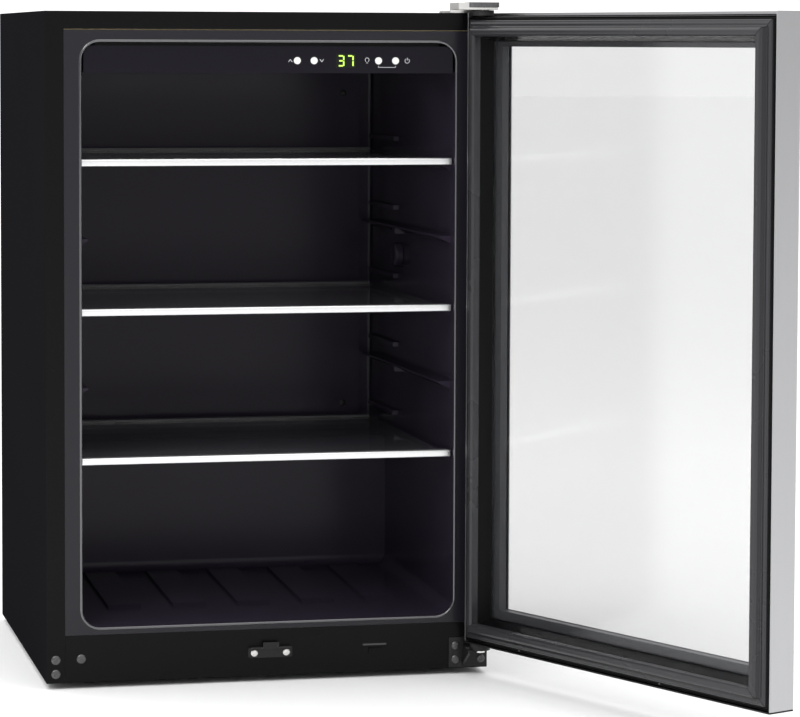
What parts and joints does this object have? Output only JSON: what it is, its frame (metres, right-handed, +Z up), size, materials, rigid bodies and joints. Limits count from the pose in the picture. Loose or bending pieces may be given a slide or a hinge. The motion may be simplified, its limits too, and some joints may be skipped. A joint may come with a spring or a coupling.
{
  "type": "glass-door beverage fridge",
  "caption": "Compact free-standing beverage fridge with a glass door on a right-hand hinge, sliding glass shelves and a push-button control panel.",
  "frame": {"origin": "on the floor, at the centre of the left rear foot's sole; the cabinet reaches from 59 mm left of it to 519 mm right of it", "axes": "+X to the fridge's right as seen from its front, -Y out of the front, +Z up; stored with the door standing open at 114 degrees"},
  "size_m": [0.8128, 1.0889, 0.8765],
  "materials": {
    "black_paint": "fine satin powder coat",
    "grey_paint": "satin",
    "galvanised": "bare galvanised",
    "zinc": "zinc plated",
    "stainless": "vertical brushed",
    "black_steel": "black oxide",
    "liner": "satin vacuum-formed sheet",
    "foam": "rigid foam",
    "black_plastic": "fine texture",
    "grey_plastic": "satin",
    "white_plastic": "gloss",
    "fascia": "high gloss",
    "lens": "tinted window",
    "board": "solder mask",
    "aluminium": "mill",
    "copper": "drawn copper tube",
    "rubber": "matt",
    "gasket": "satin vinyl",
    "magnet": "matt magnetic strip",
    "clear_glass": "clear toughened",
    "shelf_glass": "clear toughened with bright trims",
    "digits": "lit segments",
    "led": "frosted lens"
  },
  "bodies": {
    "cabinet": {"cabinet_wrapper": "black_paint", "back_panel": "grey_paint", "base_pan": "black_steel", "bay_panel": "galvanised", "inner_liner": "liner", "insulation_foam": "foam", "kick_panel": "black_paint", "corner_screws": "black_steel", "strike_bracket": "black_steel", "strike_screws": "zinc", "top_hinge_bracket": "zinc", "top_hinge_screws": "zinc", "top_hinge_pin": "zinc", "top_hinge_cap": "grey_plastic", "bottom_hinge_bracket": "black_steel", "bottom_hinge_screws": "black_steel", "bottom_hinge_pin": "zinc", "thrust_washer": "white_plastic", "rear_feet": "black_plastic", "control_housing": "black_plastic", "control_fascia": "fascia", "display_lens": "lens", "display_digits": "digits", "control_board": "board", "led_lens": "led", "evaporator_plate": "aluminium", "evaporator_cover": "black_plastic", "cover_screws": "zinc", "sensor_cap": "black_plastic", "compressor": "black_steel", "compressor_grommets": "rubber", "terminal_box": "white_plastic", "drip_tray": "black_plastic", "filter_dryer": "copper", "refrigerant_lines": "copper", "condenser_coil": "black_steel", "condenser_wires": "black_steel", "condenser_clips": "black_plastic", "cord_gland": "black_plastic"},
    "door": {"door_frame": "stainless", "door_top_cap": "black_plastic", "door_bottom_cap": "black_plastic", "door_inner_frame": "black_plastic", "inner_frame_screws": "zinc", "outer_glass": "clear_glass", "inner_glass": "clear_glass", "glass_spacer": "grey_plastic", "door_gasket": "gasket", "gasket_magnets": "magnet", "handle_cup": "black_plastic", "door_bushings": "grey_plastic"},
    "button_up": {"temp_up_button": "white_plastic"},
    "button_down": {"temp_down_button": "white_plastic"},
    "button_light": {"light_button": "white_plastic"},
    "button_power": {"power_button": "white_plastic"},
    "shelf_upper": {"upper_shelf": "shelf_glass"},
    "shelf_middle": {"middle_shelf": "shelf_glass"},
    "shelf_lower": {"lower_shelf": "shelf_glass"},
    "foot_left": {"left_foot": "black_plastic"},
    "foot_right": {"right_foot": "black_plastic"}
  },
  "joints": [
    {"name": "door_hinge", "type": "hinge", "parent": "cabinet", "child": "door", "pos_m": [0.503, -0.5105, 0.05], "axis": [0, 0, 1], "range_deg": [-114, 0]},
    {"name": "upper_shelf_slide", "type": "slide", "parent": "cabinet", "child": "shelf_upper", "axis": [0, -1, 0], "range_m": [0, 0.28]},
    {"name": "middle_shelf_slide", "type": "slide", "parent": "cabinet", "child": "shelf_middle", "axis": [0, -1, 0], "range_m": [0, 0.28]},
    {"name": "lower_shelf_slide", "type": "slide", "parent": "cabinet", "child": "shelf_lower", "axis": [0, -1, 0], "range_m": [0, 0.28]},
    {"name": "temp_up_button_press", "type": "slide", "parent": "cabinet", "child": "button_up", "axis": [0, 1, 0], "range_m": [0, 0.001], "stiffness_N_per_m": 400},
    {"name": "temp_down_button_press", "type": "slide", "parent": "cabinet", "child": "button_down", "axis": [0, 1, 0], "range_m": [0, 0.001], "stiffness_N_per_m": 400},
    {"name": "light_button_press", "type": "slide", "parent": "cabinet", "child": "button_light", "axis": [0, 1, 0], "range_m": [0, 0.001], "stiffness_N_per_m": 400},
    {"name": "power_button_press", "type": "slide", "parent": "cabinet", "child": "button_power", "axis": [0, 1, 0], "range_m": [0, 0.001], "stiffness_N_per_m": 400},
    {"name": "left_foot_screw", "type": "slide", "parent": "cabinet", "child": "foot_left", "axis": [0, 0, -1], "range_m": [0, 0.012]},
    {"name": "right_foot_screw", "type": "slide", "parent": "cabinet", "child": "foot_right", "axis": [0, 0, -1], "range_m": [0, 0.012]}
  ]
}
